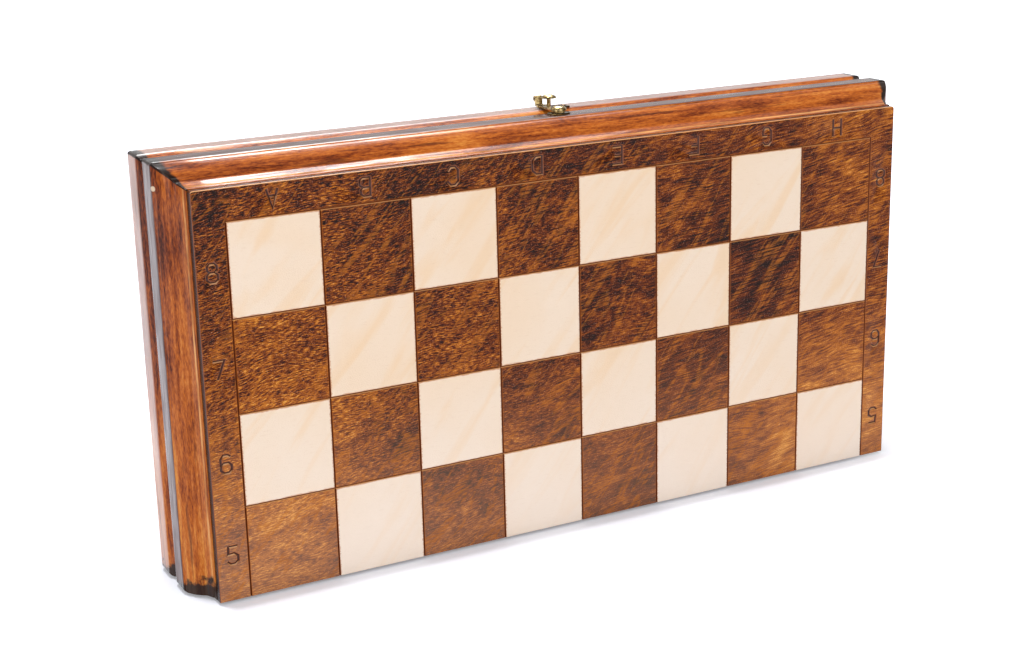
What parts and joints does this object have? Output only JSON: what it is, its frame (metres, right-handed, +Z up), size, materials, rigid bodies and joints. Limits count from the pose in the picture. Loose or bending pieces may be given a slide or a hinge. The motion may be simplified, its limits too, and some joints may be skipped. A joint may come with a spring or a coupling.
{
  "type": "folding chess set",
  "caption": "Folding wooden chess board that closes into a moulded case for its men, with butt hinges along one edge and a hook clasp on the other.",
  "frame": {"origin": "middle of the closed case's footprint, at the lowest point of the hinge barrels it stands on", "axes": "+X along the files from A to H, +Y from the front board through the case to the rear board, +Z up the ranks of the standing case, away from the hinges"},
  "size_m": [0.458, 0.085, 0.2386],
  "materials": {
    "board_veneer": "stained birch board with pale squares, satin lacquer",
    "stained_rail": "brown stained beech, glossy lacquer",
    "felt": "green felt",
    "plain_birch": "plain birch, clear lacquer",
    "pale_men": "clear lacquered beech",
    "dark_men": "dark stained beech, lacquered",
    "brass": "brass-plated steel, slightly dulled"
  },
  "bodies": {
    "front_tray": {"front_panel": "board_veneer", "front_top_rail": "stained_rail", "front_left_rail": "stained_rail", "front_right_rail": "stained_rail", "front_hinge_rail": "stained_rail", "front_felt": "felt", "front_divider": "plain_birch", "front_officer_rest": "plain_birch", "front_pawn_rest": "plain_birch", "white_king": "pale_men", "white_queen": "pale_men", "white_bishops": "pale_men", "white_knights": "pale_men", "white_rooks": "pale_men", "white_pawns": "pale_men", "front_hinge_leaves": "brass", "hinge_pins": "brass", "clasp_pivot_plate": "brass", "clasp_rivet": "brass"},
    "rear_tray": {"rear_panel": "board_veneer", "rear_top_rail": "stained_rail", "rear_left_rail": "stained_rail", "rear_right_rail": "stained_rail", "rear_hinge_rail": "stained_rail", "rear_felt": "felt", "rear_divider": "plain_birch", "rear_officer_rest": "plain_birch", "rear_pawn_rest": "plain_birch", "black_king": "dark_men", "black_queen": "dark_men", "black_bishops": "dark_men", "black_knights": "dark_men", "black_rooks": "dark_men", "black_pawns": "dark_men", "rear_hinge_leaves": "brass", "clasp_keeper_plate": "brass", "clasp_stud": "brass"},
    "hook": {"clasp_hook": "brass"}
  },
  "joints": [
    {"name": "case_opening", "type": "hinge", "parent": "front_tray", "child": "rear_tray", "pos_m": [0, 0, 0.0015], "axis": [-1, 0, 0], "range_deg": [0, 180]},
    {"name": "hook_swing", "type": "hinge", "parent": "front_tray", "child": "hook", "pos_m": [0.006, -0.0114, 0.23215], "axis": [0, 0, 1], "range_deg": [-10, 94]}
  ]
}
